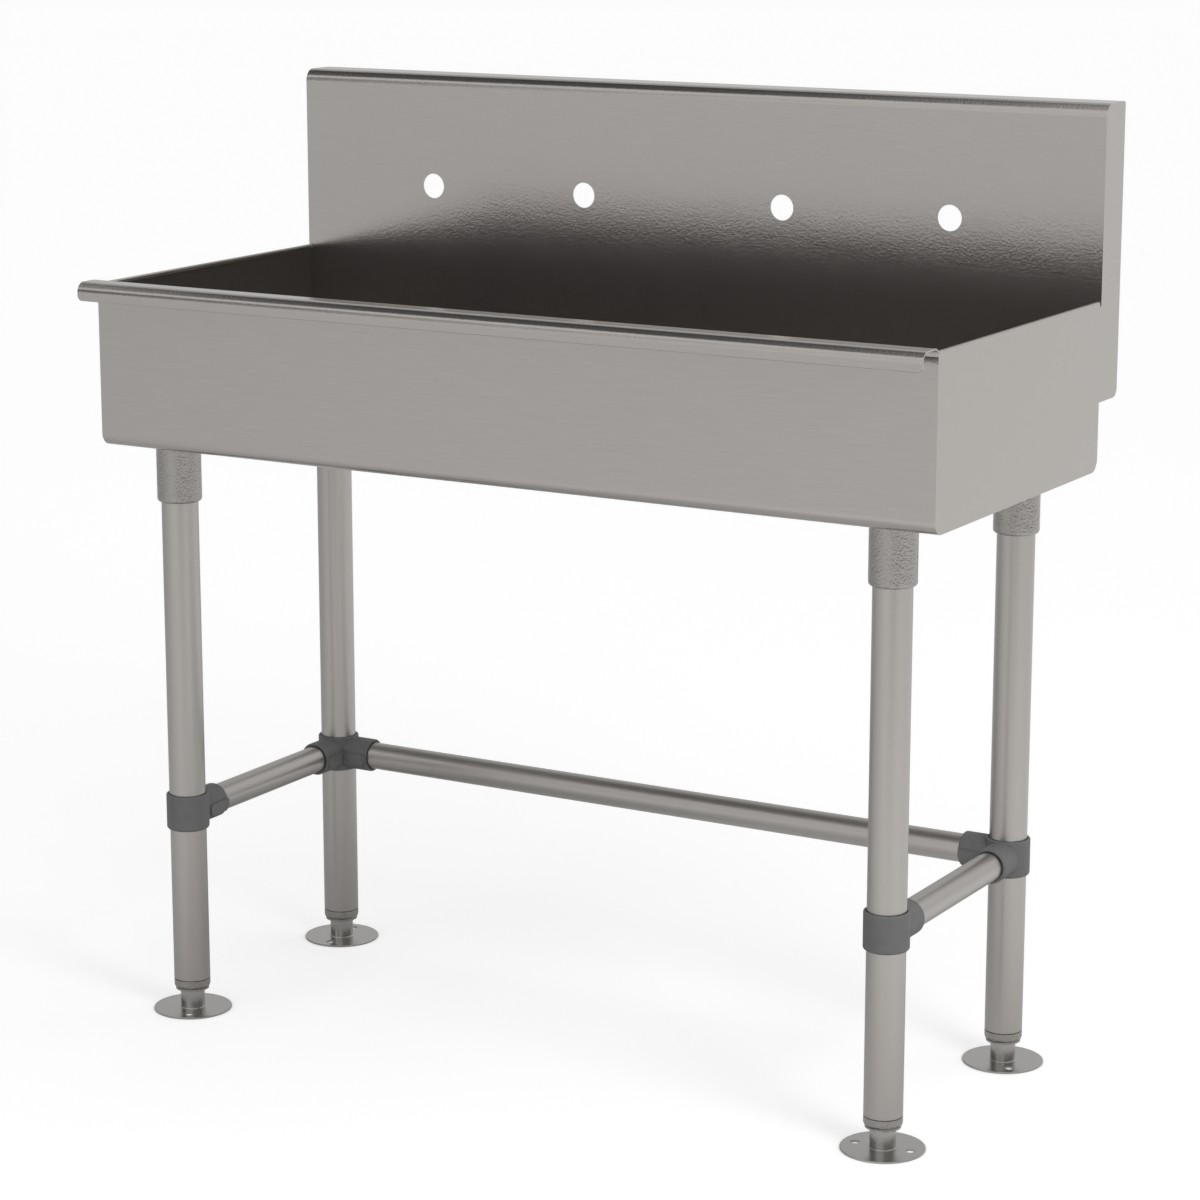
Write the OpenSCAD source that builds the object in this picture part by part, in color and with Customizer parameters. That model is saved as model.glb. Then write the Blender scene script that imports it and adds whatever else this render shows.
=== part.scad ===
// Floor-mounted hand sink in bent sheet, on four tube legs with levelling feet.
// Millimetres. The front faces -Y, +Z is up, and the origin is on the floor
// under the centre of the overall width and depth.

/* [Basin] */
// Overall width across the outside of the end panels
basin_w = 1016; // [760:2:1500]
// Inside depth of the bowl, from the front wall to the splash
bowl_d = 406.4; // [360:0.2:520]
// Depth of the bowl below the rim of the end panels
bowl_h = 181; // [130:1:260]
// Height of the end panels' rim above the floor
rim_h = 842; // [720:1:1000]
// Thickness of the sheet
sheet_t = 1.5; // [1.2:0.1:2]
// Inside radius of the bends along the bottom of the bowl
bowl_bend_r = 12.7; // [6:0.1:20]

/* [Front roll] */
// How far the roll stands out from the front wall
roll_w = 36; // [30:0.5:50]
// How far the roll rises above the rim
roll_rise = 3.7; // [0:0.1:8]
// Outside radius of the roll's upper bend at the front
roll_front_r = 11.5; // [6:0.1:12]
// Outside radius of the roll's upper bend at the front wall
roll_rear_r = 9.5; // [6:0.1:11]
// Height of the roll, from its top to its folded lower edge
roll_h = 20.2; // [20:0.1:30]
// Height of the edge that is folded back up inside the roll's face
fold_h = 8; // [4:0.1:8]
// Radius of the roll's lower corners, seen from the front
roll_corner_r = 6.5; // [2:0.5:8]

/* [Splash] */
// Height of the splash above the rim
splash_h = 207.5; // [150:0.5:320]
// Depth of the top return, from the splash face to its rear edge
return_d = 50.8; // [40:0.1:80]
// Outside radius of the bend along the top front of the splash
splash_bend_r = 13.5; // [5:0.1:20]
// Outside radius of the bend along the top rear of the return
back_bend_r = 4; // [3:0.1:8]
// Height of the return's turned-down rear edge
back_turn_h = 19; // [10:0.5:40]

/* [Tap holes] */
// Diameter of a tap hole
tap_hole_d = 28.6; // [20:0.1:36]
// Spacing of the two holes of a pair
tap_spread = 203.2; // [100:0.1:220]
// Distance between the centres of the two pairs
tap_pair_pitch = 457.2; // [300:0.2:500]
// Height of the tap holes above the rim
tap_hole_up = 78.3; // [50:0.1:110]

/* [End panels] */
// How far the ears run down below the rim behind the bowl
ear_drop = 108.5; // [60:0.5:115]
// Radius of the ears' lower rear corner
ear_corner_r = 10; // [2:0.5:20]
// Diameter of the hem along the panels' top edge
hem_d = 5; // [3.4:0.1:8]
// Gap left between the hem and the splash
hem_relief = 3; // [1.5:0.1:8]

/* [Legs] */
// Outside diameter of a leg tube
leg_d = 41.3; // [34:0.1:50]
// Wall thickness of a leg tube
leg_t = 1.65; // [1.2:0.05:3]
// Distance from a leg's axis to the outside of the end panel
leg_side_inset = 67.5; // [50:0.5:120]
// Distance from a front leg's axis to the inside of the front wall
leg_front_inset = 48; // [40:0.5:60]
// Distance between front and rear leg axes
leg_pitch_y = 304.8; // [250:0.2:310]

/* [Leg sockets] */
// Wall thickness of a leg socket
socket_wall = 4.2; // [2.5:0.1:6]
// Height of a leg socket
socket_h = 64; // [45:0.5:90]
// Thickness of the socket's closed top
socket_top_t = 3; // [2:0.1:5]
// Radius of the socket's lower outer edge
socket_edge_r = 4; // [1:0.1:4.2]

/* [Rails] */
// Outside diameter of a rail
rail_d = 31.75; // [25:0.05:35]
// Wall thickness of a rail
rail_t = 1.5; // [1:0.1:3]
// Height of the rail axes above the floor
rail_h = 236.4; // [140:0.2:420]

/* [Rail clamps] */
// Wall thickness of a clamp's collar
collar_wall = 3.4; // [2.5:0.1:6]
// Height of a clamp's collar
collar_h = 41.2; // [36:0.2:60]
// Radius of the collar's upper outer edge
collar_top_r = 1.8; // [0.8:0.1:2.2]
// Radius of the collar's lower outer edge
collar_base_r = 3.2; // [0.8:0.1:3.3]
// Wall thickness of a clamp's hub
hub_wall = 3.5; // [2.5:0.1:5]
// Length of a hub from the leg's axis to its mouth
hub_l = 51.5; // [44:0.5:80]
// Radius of the hub's edge at its mouth
hub_edge_r = 2; // [0.8:0.1:2.2]
// Distance from the leg's axis to the start of the flat pad along a hub
pad_from = 16.5; // [12:0.5:22]
// Distance from the pad's end to the hub's mouth
pad_back = 1.2; // [0.8:0.1:6]
// Height of the flat pad along a hub's inner side
pad_h = 13.4; // [8:0.1:18]
// How far the pad's lower edge lies below the hub's axis
pad_drop = 9; // [4:0.1:12]
// How far the pad stands out past the hub's round side
pad_rise = 2; // [0.5:0.1:4]
// Chamfer on the pad's lower corner towards the mouth
pad_chamfer = 5; // [1:0.1:7]
// Radius of the pad's two corners towards the leg
pad_start_r = 5; // [1:0.1:6]

/* [Feet] */
// Diameter of a foot's floor flange
flange_d = 88.9; // [70:0.1:110]
// Thickness of a floor flange
flange_t = 2; // [1.5:0.1:5]
// Edge radius on top of a floor flange
flange_edge_r = 0.5; // [0.4:0.1:0.8]
// Circle through the flange's two screw holes
flange_pcd = 61; // [52:0.5:66]
// Diameter of a flange screw hole
flange_hole_d = 9.5; // [6:0.1:11]
// Diameter of a foot stem
stem_d = 27.4; // [20:0.1:30]
// Stem length in sight between the flange and the insert
stem_show = 22.2; // [20:0.1:32]
// Height of the insert below the end of the leg tube
insert_show = 13; // [9:0.5:20]
// Radius of the insert's lower edge
insert_edge_r = 6.6; // [2:0.1:6.8]
// Diameter of the stem's threaded rod
foot_rod_d = 15.9; // [10:0.1:18]
// How far a foot can screw up into its leg
foot_up = 15; // [5:0.5:18]
// How far a foot can screw down out of its leg
foot_down = 20; // [10:0.5:25]

/* [Drain] */
// Distance from the drain's axis to the face of the splash
drain_inset = 106; // [90:0.5:160]
// Outside diameter of the drain body's rim
drain_rim_d = 112; // [104:0.5:130]
// Outside diameter of the drain body's threaded cup
drain_cup_d = 86; // [80:0.2:90]
// Depth of the drain body's cup below its rim
drain_cup_h = 36; // [32:0.5:50]
// Outside diameter of the drain's outlet
outlet_d = 47.8; // [38:0.1:52]
// Length of the drain's outlet
outlet_l = 15; // [10:0.5:40]
// Wall thickness of the drain body
drain_wall = 1.6; // [1.2:0.1:2.4]
// Depth of the stamped recess that the drain's rim lies in
recess_h = 3.6; // [2.6:0.1:6]

/* [Hidden] */
$fn = 64;
// Overrun of every cut past the face that it opens
cut = 1;
// Radial clearances: tube in its socket or clamp, sliding fit, screw in its hole, loose piece on its seat
tube_fit = 0.1;
slide_fit = 0.05;
screw_fit = 0.05;
seat_gap = 0.3;

// Small sizes of the tubes' and clamps' ends, and the groove that shows between a leg and its insert
tube_end_chamfer = 0.4;
mouth_chamfer = 1;
tube_end_gap = 1;
seam_gap = 0.6;

// Set screws: thread diameter, hexagon across corners and depth
grub_d = 6;
grub_hex_d = 3.5;
grub_hex_h = 3;
socket_grub_up = 22;
rail_grub_back = 13;
front_collar_grub_turn = 20;
rear_collar_grub_turn = 45;

// Feet: rod length above the sleeve, plug length inside the leg, weld ring, hole turn of each foot in degrees
foot_rod_l = 55;
plug_l = 45;
sleeve_cover = 3;
weld_ring_r = 1;
flange_turn_front_left = 118;
flange_turn_front_right = 5;
flange_turn_rear_left = 97;
flange_turn_rear_right = 127;

// Drain: recess side slope, gasket, friction ring, nut, basket, post and stopper
recess_slope = 3;
recess_margin = 2;
drain_rim_t = 2;
drain_hole_fit = 0.8;
drain_thread_h = 22;
gasket_t = 3;
gasket_d = 106;
friction_ring_t = 1.2;
nut_h = 9;
nut_d = 103;
nut_lug_d = 112;
nut_lug_w = 12;
nut_lug_count = 6;
basket_wall = 1;
basket_lip_w = 3.4;
basket_h = 24;
basket_draft = 5;
basket_hole_d = 6;
basket_ring_shares = [0.42, 0.78];
basket_ring_holes = 10;
basket_wall_holes = 14;
post_d = 7;
knob_d = 17;
knob_h = 6;
knob_stand = 5;
stopper_t = 4;
stopper_edge = 5;

// Places worked out from the sizes above
overall_d = roll_w + sheet_t + bowl_d + return_d;
front_y = -overall_d / 2;
wall_y = front_y + roll_w;
bowl_y = wall_y + sheet_t;
splash_y = bowl_y + bowl_d;
back_y = splash_y + return_d;
floor_z = rim_h - bowl_h;
base_z = floor_z - sheet_t;
roll_z = rim_h + roll_rise;
edge_z = roll_z - roll_h;
top_z = rim_h + splash_h;
ear_z = rim_h - ear_drop;
shell_w = basin_w - 2 * sheet_t;
bend_out_r = bowl_bend_r + sheet_t;
tap_z = rim_h + tap_hole_up;

leg_x = basin_w / 2 - leg_side_inset;
leg_front_y = bowl_y + leg_front_inset;
leg_rear_y = leg_front_y + leg_pitch_y;
leg_r = leg_d / 2;
socket_r = leg_r + tube_fit + socket_wall;
leg_base_z = flange_t + stem_show + insert_show;
leg_top_z = base_z - socket_top_t - tube_end_gap;
socket_grub_z = base_z - socket_h + socket_grub_up;

rail_r = rail_d / 2;
hub_r = rail_r + tube_fit + hub_wall;
collar_r = leg_r + tube_fit + collar_wall;
rail_end = leg_r + tube_end_gap;

insert_z = flange_t + stem_show;
sleeve_top_z = insert_z + foot_down + sleeve_cover;
sleeve_bore_z = sleeve_top_z + foot_up + seat_gap;
plug_top_z = leg_base_z + plug_l;
rod_top_z = sleeve_top_z + foot_rod_l;

drain_y = splash_y - drain_inset;
recess_z = floor_z - recess_h;
recess_r = drain_rim_d / 2 + recess_margin;
cup_r = drain_cup_d / 2;
cup_in_r = cup_r - drain_wall;
drain_rim_z = recess_z + drain_rim_t;
cup_seat_z = recess_z - drain_cup_h;
cup_cone_z = recess_z - drain_thread_h;
outlet_r = outlet_d / 2;
outlet_in_r = outlet_r - 2 * drain_wall;
cone_r = outlet_r + 2 * drain_wall;
outlet_z = cup_seat_z - drain_wall - outlet_l;
under_recess_z = recess_z - sheet_t;
friction_ring_z = under_recess_z - gasket_t - friction_ring_t;
nut_z = friction_ring_z - nut_h;
basket_lip_r = cup_in_r + basket_lip_w;
basket_z = drain_rim_z + seat_gap;
basket_in_r = cup_in_r - basket_wall - seat_gap;
basket_floor_z = basket_z - basket_h;
stopper_z = cup_seat_z + seat_gap;
stopper_r = outlet_in_r + stopper_edge;
knob_z = basket_z + knob_stand;

// Shared shapes

// Draws a profile in the Y-Z plane and runs it along X, centred
module along_x(w) {
    translate([-w / 2, 0, 0]) rotate([90, 0, 90]) linear_extrude(w) children();
}

// One quarter of a bent sheet: centre, outside radius and the quadrant that it fills
module bend(c, r, sy, sz) {
    translate(c) intersection() {
        difference() {
            circle(r);
            circle(r - sheet_t);
        }
        translate([min(sy, 0) * r, min(sz, 0) * r]) square(r);
    }
}

// A straight run of sheet between two opposite corners
module run(a, b) {
    translate(a) square(b - a);
}

// Half section of a round piece with rounded outer edges
module round_section(r, h, base_r, top_r) {
    difference() {
        square([r, h]);
        translate([r - base_r, 0]) difference() {
            translate([0, -cut]) square([base_r + cut, base_r + cut]);
            translate([0, base_r]) circle(base_r);
        }
        translate([r - top_r, h - top_r]) difference() {
            square([top_r + cut, top_r + cut]);
            circle(top_r);
        }
    }
}

module round_piece(r, h, base_r, top_r) {
    rotate_extrude() round_section(r, h, base_r, top_r);
}

// A tube with small chamfers on its outer ends
module tube(d, t, l) {
    rotate_extrude() polygon([
        [d / 2 - t, 0], [d / 2 - tube_end_chamfer, 0], [d / 2, tube_end_chamfer],
        [d / 2, l - tube_end_chamfer], [d / 2 - tube_end_chamfer, l], [d / 2 - t, l]
    ]);
}

// A set screw along +Z with its hexagon at the top
module grub(l) {
    difference() {
        cylinder(h = l, d = grub_d);
        translate([0, 0, l - grub_hex_h]) cylinder(h = grub_hex_h + cut, d = grub_hex_d, $fn = 6);
    }
}

// The left side is drawn, and the right side is its mirror image
module on_side(side) {
    if (side == "right") mirror([1, 0, 0]) children();
    else children();
}

module at_leg(end) {
    translate([-leg_x, end == "front" ? leg_front_y : leg_rear_y, 0]) children();
}

// Basin

module roll_section() {
    translate([front_y + sheet_t, edge_z + sheet_t]) circle(sheet_t);
    run([front_y, edge_z + sheet_t], [front_y + 2 * sheet_t, edge_z + fold_h]);
    run([front_y, edge_z + sheet_t], [front_y + sheet_t, roll_z - roll_front_r]);
    bend([front_y + roll_front_r, roll_z - roll_front_r], roll_front_r, -1, 1);
    run([front_y + roll_front_r, roll_z - sheet_t], [bowl_y - roll_rear_r, roll_z]);
    bend([bowl_y - roll_rear_r, roll_z - roll_rear_r], roll_rear_r, 1, 1);
}

// What the roll's rounded lower corners leave out at both ends
module roll_corners() {
    corner_x = basin_w / 2 - roll_corner_r;
    corner_z = edge_z + roll_corner_r;
    translate([0, front_y + 2 * sheet_t + cut, 0]) rotate([90, 0, 0])
        linear_extrude(2 * (sheet_t + cut)) {
            rounded_corner([corner_x, corner_z], roll_corner_r, 1, -1);
            rounded_corner([-corner_x, corner_z], roll_corner_r, -1, -1);
        }
}

module bowl_section() {
    run([wall_y, floor_z + bowl_bend_r], [bowl_y, roll_z - roll_rear_r]);
    bend([bowl_y + bowl_bend_r, floor_z + bowl_bend_r], bend_out_r, -1, -1);
    run([bowl_y + bowl_bend_r, base_z], [splash_y - bowl_bend_r, floor_z]);
    bend([splash_y - bowl_bend_r, floor_z + bowl_bend_r], bend_out_r, 1, -1);
}

module splash_section() {
    run([splash_y, floor_z + bowl_bend_r], [splash_y + sheet_t, top_z - splash_bend_r]);
    bend([splash_y + splash_bend_r, top_z - splash_bend_r], splash_bend_r, -1, 1);
    run([splash_y + splash_bend_r, top_z - sheet_t], [back_y - back_bend_r, top_z]);
    bend([back_y - back_bend_r, top_z - back_bend_r], back_bend_r, 1, 1);
    run([back_y - sheet_t, top_z - back_turn_h], [back_y, top_z - back_bend_r]);
}

// Stamped recess for the drain's rim: the dish below the floor, and what it clears
module recess_dish() {
    translate([0, drain_y, 0]) rotate_extrude() polygon([
        [0, under_recess_z], [recess_r + sheet_t, under_recess_z],
        [recess_r + recess_slope + sheet_t, base_z], [recess_r + recess_slope + sheet_t, floor_z],
        [0, floor_z]
    ]);
}

module recess_space() {
    translate([0, drain_y, 0]) rotate_extrude() polygon([
        [0, recess_z], [recess_r, recess_z], [recess_r + recess_slope, floor_z],
        [recess_r + recess_slope, floor_z + cut], [0, floor_z + cut]
    ]);
}

module tap_holes() {
    for (pair = [-1, 1], hole = [-1, 1])
        translate([pair * tap_pair_pitch / 2 + hole * tap_spread / 2, splash_y - cut, tap_z])
            rotate([-90, 0, 0]) cylinder(h = sheet_t + 2 * cut, d = tap_hole_d);
}

module basin_shell() {
    color("silver") difference() {
        union() {
            along_x(shell_w) {
                roll_section();
                bowl_section();
                splash_section();
            }
            along_x(basin_w) intersection() {
                roll_section();
                run([front_y - cut, edge_z - cut], [wall_y, roll_z + cut]);
            }
            recess_dish();
        }
        roll_corners();
        recess_space();
        translate([0, drain_y, under_recess_z - cut])
            cylinder(h = sheet_t + 2 * cut, r = cup_r + drain_hole_fit);
        tap_holes();
    }
}

module rounded_corner(c, r, sy, sz) {
    translate(c) difference() {
        translate([min(sy, 0) * (r + cut), min(sz, 0) * (r + cut)]) square(r + cut);
        circle(r);
    }
}

module end_panel_outline() {
    difference() {
        union() {
            run([wall_y, base_z], [splash_y + sheet_t, rim_h - hem_d / 2]);
            run([splash_y, ear_z], [back_y, top_z]);
        }
        rounded_corner([wall_y + bend_out_r, base_z + bend_out_r], bend_out_r, -1, -1);
        rounded_corner([splash_y + sheet_t - bend_out_r, base_z + bend_out_r], bend_out_r, 1, -1);
        rounded_corner([back_y - ear_corner_r, ear_z + ear_corner_r], ear_corner_r, 1, -1);
        rounded_corner([back_y - back_bend_r, top_z - back_bend_r], back_bend_r, 1, 1);
        rounded_corner([splash_y + splash_bend_r, top_z - splash_bend_r], splash_bend_r, -1, 1);
        run([splash_y - hem_relief, rim_h - hem_d], [splash_y, rim_h]);
    }
}

// Left panel with the hem turned in over its top edge
module end_panel(side) {
    on_side(side) color("gainsboro") union() {
        translate([-basin_w / 2, 0, 0]) rotate([90, 0, 90]) linear_extrude(sheet_t) end_panel_outline();
        translate([-basin_w / 2 + hem_d / 2, bowl_y, rim_h - hem_d / 2]) rotate([-90, 0, 0])
            cylinder(h = bowl_d - hem_relief, d = hem_d);
    }
}

// Legs and sockets

module leg_socket(side, end) {
    on_side(side) at_leg(end) color("silver") difference() {
        translate([0, 0, base_z - socket_h])
            round_piece(socket_r, socket_h, socket_edge_r, tube_end_chamfer);
        translate([0, 0, base_z - socket_h - cut])
            cylinder(h = socket_h - socket_top_t + cut, r = leg_r + tube_fit);
        translate([0, 0, socket_grub_z]) rotate([-90, 0, 0])
            cylinder(h = socket_r + cut, r = grub_d / 2 + screw_fit);
    }
}

module leg(side, end) {
    on_side(side) at_leg(end) color("lightgray")
        translate([0, 0, leg_base_z]) tube(leg_d, leg_t, leg_top_z - leg_base_z);
}

module socket_set_screws() {
    color("dimgray") for (side = ["left", "right"], end = ["front", "rear"])
        on_side(side) at_leg(end) translate([0, leg_r + tube_fit, socket_grub_z])
            rotate([-90, 0, 0]) grub(socket_wall - tube_fit);
}

// Rails

module side_rail(side) {
    on_side(side) color("lightgray") translate([-leg_x, leg_front_y + rail_end, rail_h])
        rotate([-90, 0, 0]) tube(rail_d, rail_t, leg_pitch_y - 2 * rail_end);
}

module rear_rail() {
    color("lightgray") translate([-leg_x + rail_end, leg_rear_y, rail_h])
        rotate([0, 90, 0]) tube(rail_d, rail_t, 2 * (leg_x - rail_end));
}

// Clamps. A hub is drawn along +Y with its flat pad on the +X side

module hub_body() {
    rotate([-90, 0, 0]) round_piece(hub_r, hub_l, tube_end_chamfer, hub_edge_r);
    rotate([90, 0, 90]) linear_extrude(hub_r + pad_rise) pad_outline();
}

// Pad with a rounded start and a chamfered lower corner at its end, seen from its side
module pad_outline() {
    pad_end = hub_l - pad_back;
    pad_low = -pad_drop;
    pad_high = pad_h - pad_drop;
    round_y = pad_from + pad_start_r;
    difference() {
        polygon([
            [pad_from, pad_low], [pad_end - pad_chamfer, pad_low], [pad_end, pad_low + pad_chamfer],
            [pad_end, pad_high], [pad_from, pad_high]
        ]);
        rounded_corner([round_y, pad_low + pad_start_r], pad_start_r, -1, -1);
        rounded_corner([round_y, pad_high - pad_start_r], pad_start_r, -1, 1);
    }
}

module hub_bore() {
    bore_r = rail_r + tube_fit;
    rotate([-90, 0, 0]) cylinder(h = hub_l + cut, r = bore_r);
    translate([0, hub_l - mouth_chamfer, 0]) rotate([-90, 0, 0])
        cylinder(h = mouth_chamfer + cut, r1 = bore_r, r2 = bore_r + mouth_chamfer + cut);
    translate([0, hub_l - rail_grub_back, 0]) rotate([180, 0, 0])
        cylinder(h = hub_r + cut, r = grub_d / 2 + screw_fit);
}

module collar_body() {
    translate([0, 0, -collar_h / 2]) round_piece(collar_r, collar_h, collar_base_r, collar_top_r);
}

module collar_bore() {
    bore_r = leg_r + tube_fit;
    translate([0, 0, -collar_h / 2 - cut]) cylinder(h = collar_h + 2 * cut, r = bore_r);
    translate([0, 0, collar_h / 2 - mouth_chamfer])
        cylinder(h = mouth_chamfer + cut, r1 = bore_r, r2 = bore_r + mouth_chamfer + cut);
}

module collar_grub_hole(turn) {
    rotate([0, 0, 180 - turn]) rotate([0, 90, 0])
        cylinder(h = collar_r + cut, r = grub_d / 2 + screw_fit);
}

// The rear clamp's second hub points inwards, the first hub's mirror image about the diagonal
module inward() {
    rotate([0, 0, -90]) children();
}

module forward() {
    mirror([0, 1, 0]) children();
}

module rail_clamp(side) {
    on_side(side) at_leg("front") translate([0, 0, rail_h]) color("dimgray") difference() {
        union() {
            collar_body();
            hub_body();
        }
        collar_bore();
        hub_bore();
        collar_grub_hole(front_collar_grub_turn);
    }
}

module corner_clamp(side) {
    on_side(side) at_leg("rear") translate([0, 0, rail_h]) color("dimgray") difference() {
        union() {
            collar_body();
            forward() hub_body();
            inward() hub_body();
        }
        collar_bore();
        forward() hub_bore();
        inward() hub_bore();
        collar_grub_hole(rear_collar_grub_turn);
    }
}

module rail_grub() {
    translate([0, hub_l - rail_grub_back, -rail_r - tube_fit]) rotate([180, 0, 0])
        grub(hub_wall - tube_fit);
}

module collar_grub(turn) {
    rotate([0, 0, 180 - turn]) translate([leg_r + tube_fit, 0, 0]) rotate([0, 90, 0])
        grub(collar_wall - tube_fit);
}

module clamp_set_screws() {
    color("gray") for (side = ["left", "right"]) on_side(side) {
        at_leg("front") translate([0, 0, rail_h]) {
            rail_grub();
            collar_grub(front_collar_grub_turn);
        }
        at_leg("rear") translate([0, 0, rail_h]) {
            forward() rail_grub();
            inward() rail_grub();
            collar_grub(rear_collar_grub_turn);
        }
    }
}

// Feet

module foot_insert(side, end) {
    plug_r = leg_r - leg_t - tube_fit;
    on_side(side) at_leg(end) color("silver") difference() {
        union() {
            translate([0, 0, insert_z])
                round_piece(leg_r, insert_show - seam_gap, insert_edge_r, tube_end_chamfer);
            translate([0, 0, insert_z]) cylinder(h = insert_show, r = leg_r - leg_t);
            translate([0, 0, leg_base_z]) cylinder(h = plug_l, r = plug_r);
        }
        translate([0, 0, insert_z - cut])
            cylinder(h = sleeve_bore_z - insert_z + cut, r = stem_d / 2 + slide_fit);
        translate([0, 0, insert_z]) cylinder(h = plug_top_z - insert_z + cut, r = foot_rod_d / 2 + slide_fit);
    }
}

module foot_stem(side, end) {
    on_side(side) at_leg(end) color("silver") union() {
        translate([0, 0, flange_t]) cylinder(h = sleeve_top_z - flange_t, d = stem_d);
        translate([0, 0, sleeve_top_z])
            round_piece(foot_rod_d / 2, rod_top_z - sleeve_top_z, tube_end_chamfer, tube_end_chamfer);
    }
}

// Floor flange with the small weld ring that the stem stands in
module floor_flange(side, end, turn) {
    on_side(side) at_leg(end) color("silver") difference() {
        union() {
            round_piece(flange_d / 2, flange_t, tube_end_chamfer, flange_edge_r);
            rotate_extrude() translate([stem_d / 2, flange_t]) intersection() {
                circle(weld_ring_r);
                square(weld_ring_r);
            }
        }
        rotate([0, 0, side == "right" ? -turn : turn]) for (s = [-1, 1])
            translate([s * flange_pcd / 2, 0, -cut]) cylinder(h = flange_t + 2 * cut, d = flange_hole_d);
    }
}

// Drain

module at_drain() {
    translate([0, drain_y, 0]) children();
}

module drain_body() {
    at_drain() color("silver") rotate_extrude() polygon([
        [cup_in_r, drain_rim_z], [drain_rim_d / 2 - drain_rim_t / 2, drain_rim_z],
        [drain_rim_d / 2, recess_z + drain_rim_t / 2], [drain_rim_d / 2, recess_z],
        [cup_r, recess_z], [cup_r, cup_cone_z],
        [cone_r, cup_seat_z - drain_wall], [outlet_r, cup_seat_z - drain_wall],
        [outlet_r, outlet_z], [outlet_in_r, outlet_z], [outlet_in_r, cup_seat_z],
        [cone_r - drain_wall / 2, cup_seat_z], [cup_in_r, cup_cone_z]
    ]);
}

module drain_ring(r, z, h) {
    at_drain() translate([0, 0, z]) difference() {
        cylinder(h = h, r = r);
        translate([0, 0, -cut]) cylinder(h = h + 2 * cut, r = cup_r + tube_fit);
    }
}

module drain_gasket() {
    color("black") drain_ring(gasket_d / 2, under_recess_z - gasket_t, gasket_t);
}

module drain_friction_ring() {
    color("tan") drain_ring(gasket_d / 2, friction_ring_z, friction_ring_t);
}

// Lock nut with lugs round its rim
module drain_lock_nut() {
    color("goldenrod") at_drain() translate([0, 0, nut_z]) difference() {
        union() {
            cylinder(h = nut_h, d = nut_d);
            for (i = [0 : nut_lug_count - 1]) rotate([0, 0, i * 360 / nut_lug_count])
                translate([0, -nut_lug_w / 2, 0]) cube([nut_lug_d / 2, nut_lug_w, nut_h]);
        }
        translate([0, 0, -cut]) cylinder(h = nut_h + 2 * cut, r = cup_r + tube_fit);
    }
}

// Lift-out basket with a lip that rests on the drain's rim, and rings of holes
module strainer_basket() {
    low_r = basket_in_r - basket_draft;
    color("gainsboro") at_drain() difference() {
        rotate_extrude() polygon([
            [post_d / 2 + slide_fit, basket_floor_z], [low_r, basket_floor_z],
            [basket_in_r + basket_wall, basket_z], [basket_lip_r, basket_z],
            [basket_lip_r, basket_z + basket_wall], [basket_in_r, basket_z + basket_wall],
            [low_r - basket_wall, basket_floor_z + basket_wall],
            [post_d / 2 + slide_fit, basket_floor_z + basket_wall]
        ]);
        for (ring = basket_ring_shares, i = [0 : basket_ring_holes - 1])
            rotate([0, 0, (i + ring) * 360 / basket_ring_holes])
                translate([ring * low_r, 0, basket_floor_z - cut])
                    cylinder(h = basket_wall + 2 * cut, d = basket_hole_d);
        for (i = [0 : basket_wall_holes - 1]) rotate([0, 0, i * 360 / basket_wall_holes])
            translate([low_r / 2, 0, basket_floor_z + basket_h / 2]) rotate([0, 90, 0])
                cylinder(h = basket_lip_r, d = basket_hole_d);
    }
}

// Post through the basket's floor, with its knob above and its collar on the floor
module strainer_post() {
    collar_z = basket_floor_z + basket_wall + seat_gap;
    color("silver") at_drain() union() {
        translate([0, 0, stopper_z + stopper_t]) cylinder(h = knob_z - stopper_z - stopper_t, d = post_d);
        translate([0, 0, collar_z]) cylinder(h = basket_wall, r = post_d);
        translate([0, 0, knob_z]) round_piece(knob_d / 2, knob_h, knob_h / 4, knob_h / 3);
    }
}

module strainer_stopper() {
    color("black") at_drain() translate([0, 0, stopper_z])
        round_piece(stopper_r, stopper_t, stopper_t / 3, stopper_t / 4);
}

basin_shell();
end_panel("left");  // end_panel_left
end_panel("right");  // end_panel_right
leg_socket("left", "front");  // leg_socket_front_left
leg_socket("right", "front");  // leg_socket_front_right
leg_socket("left", "rear");  // leg_socket_rear_left
leg_socket("right", "rear");  // leg_socket_rear_right
leg("left", "front");  // leg_front_left
leg("right", "front");  // leg_front_right
leg("left", "rear");  // leg_rear_left
leg("right", "rear");  // leg_rear_right
rail_clamp("left");  // rail_clamp_front_left
rail_clamp("right");  // rail_clamp_front_right
corner_clamp("left");  // corner_clamp_rear_left
corner_clamp("right");  // corner_clamp_rear_right
side_rail("left");  // side_rail_left
side_rail("right");  // side_rail_right
rear_rail();
foot_insert("left", "front");  // foot_insert_front_left
foot_insert("right", "front");  // foot_insert_front_right
foot_insert("left", "rear");  // foot_insert_rear_left
foot_insert("right", "rear");  // foot_insert_rear_right
foot_stem("left", "front");  // foot_stem_front_left
foot_stem("right", "front");  // foot_stem_front_right
foot_stem("left", "rear");  // foot_stem_rear_left
foot_stem("right", "rear");  // foot_stem_rear_right
floor_flange("left", "front", flange_turn_front_left);  // floor_flange_front_left
floor_flange("right", "front", flange_turn_front_right);  // floor_flange_front_right
floor_flange("left", "rear", flange_turn_rear_left);  // floor_flange_rear_left
floor_flange("right", "rear", flange_turn_rear_right);  // floor_flange_rear_right
socket_set_screws();
clamp_set_screws();
drain_body();
drain_gasket();
drain_friction_ring();
drain_lock_nut();
strainer_basket();
strainer_post();
strainer_stopper();
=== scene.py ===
import math

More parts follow.
